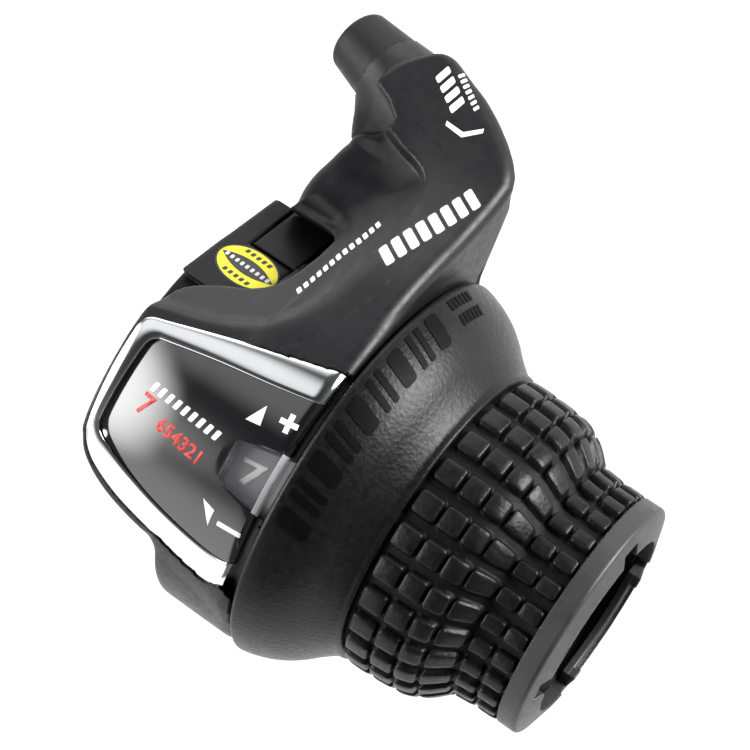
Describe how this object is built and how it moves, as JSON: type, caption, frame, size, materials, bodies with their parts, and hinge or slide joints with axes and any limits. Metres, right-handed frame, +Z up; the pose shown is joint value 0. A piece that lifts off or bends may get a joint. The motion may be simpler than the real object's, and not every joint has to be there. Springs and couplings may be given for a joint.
{
  "type": "twist-grip gear shifter",
  "caption": "Right-hand twist-grip gear shifter: clamp and housing with a gear indicator, a cable arm that turns inboard, and a knurled rubber grip that turns on the handlebar.",
  "frame": {"origin": "on the handlebar's axis, at the middle of the clamp band's bore", "axes": "+X along the handlebar towards its outer (grip) end, +Y forward, away from the rider, +Z up; the cable arm reaches forward and its outlet points inboard"},
  "size_m": [0.0664, 0.0749, 0.0534],
  "materials": {
    "housing_plastic": "fine satin grain",
    "grip_rubber": "matt, leathery grain",
    "end_ring_plastic": "fine matt",
    "bezel_chrome": "bright plated plastic",
    "lens_black": "polished",
    "window_smoke": "polished, smoked and clear",
    "label_yellow": "printed film",
    "outlet_plastic": "fine satin grain",
    "plated_steel": "zinc plated",
    "sleeve_nylon": "smooth nylon",
    "acetal_white": "smooth acetal",
    "number_plastic": "smooth, printed",
    "core_nylon": "smooth nylon"
  },
  "bodies": {
    "bracket": {"top_cover": "housing_plastic", "bracket_base": "housing_plastic", "clamp_band": "housing_plastic", "clamp_plate": "housing_plastic", "clamp_bolt": "plated_steel", "oval_label": "label_yellow", "cover_screws": "plated_steel", "indicator_bezel": "bezel_chrome", "indicator_lens": "lens_black", "number_window": "window_smoke", "cable_outlet": "outlet_plastic", "outlet_ferrule": "plated_steel", "cable_guide": "acetal_white", "bar_sleeve": "sleeve_nylon", "retaining_ring": "plated_steel", "thrust_washer": "acetal_white", "detent_pin": "plated_steel", "detent_spring": "plated_steel"},
    "twist_grip": {"cable_drum": "acetal_white", "grip_core": "core_nylon", "grip_rubber": "grip_rubber", "grip_end_ring": "end_ring_plastic", "number_ring": "number_plastic", "detent_ring": "acetal_white"},
    "detent_arm": {"detent_lever": "plated_steel", "roller_axle": "plated_steel"},
    "roller": {"detent_roller": "plated_steel"}
  },
  "joints": [
    {"name": "grip_turn", "type": "hinge", "parent": "bracket", "child": "twist_grip", "pos_m": [0.03, 0, 0], "axis": [1, 0, 0], "range_deg": [0, 72]},
    {"name": "detent_swing", "type": "hinge", "parent": "bracket", "child": "detent_arm", "pos_m": [0.01405, 0.00896, -0.01921], "axis": [1, 0, 0], "range_deg": [-4.5, 0], "stiffness_Nm_per_rad": 0.4},
    {"name": "roller_spin", "type": "hinge", "parent": "detent_arm", "child": "roller", "pos_m": [0.01665, 0, -0.02105], "axis": [1, 0, 0], "continuous": true}
  ]
}
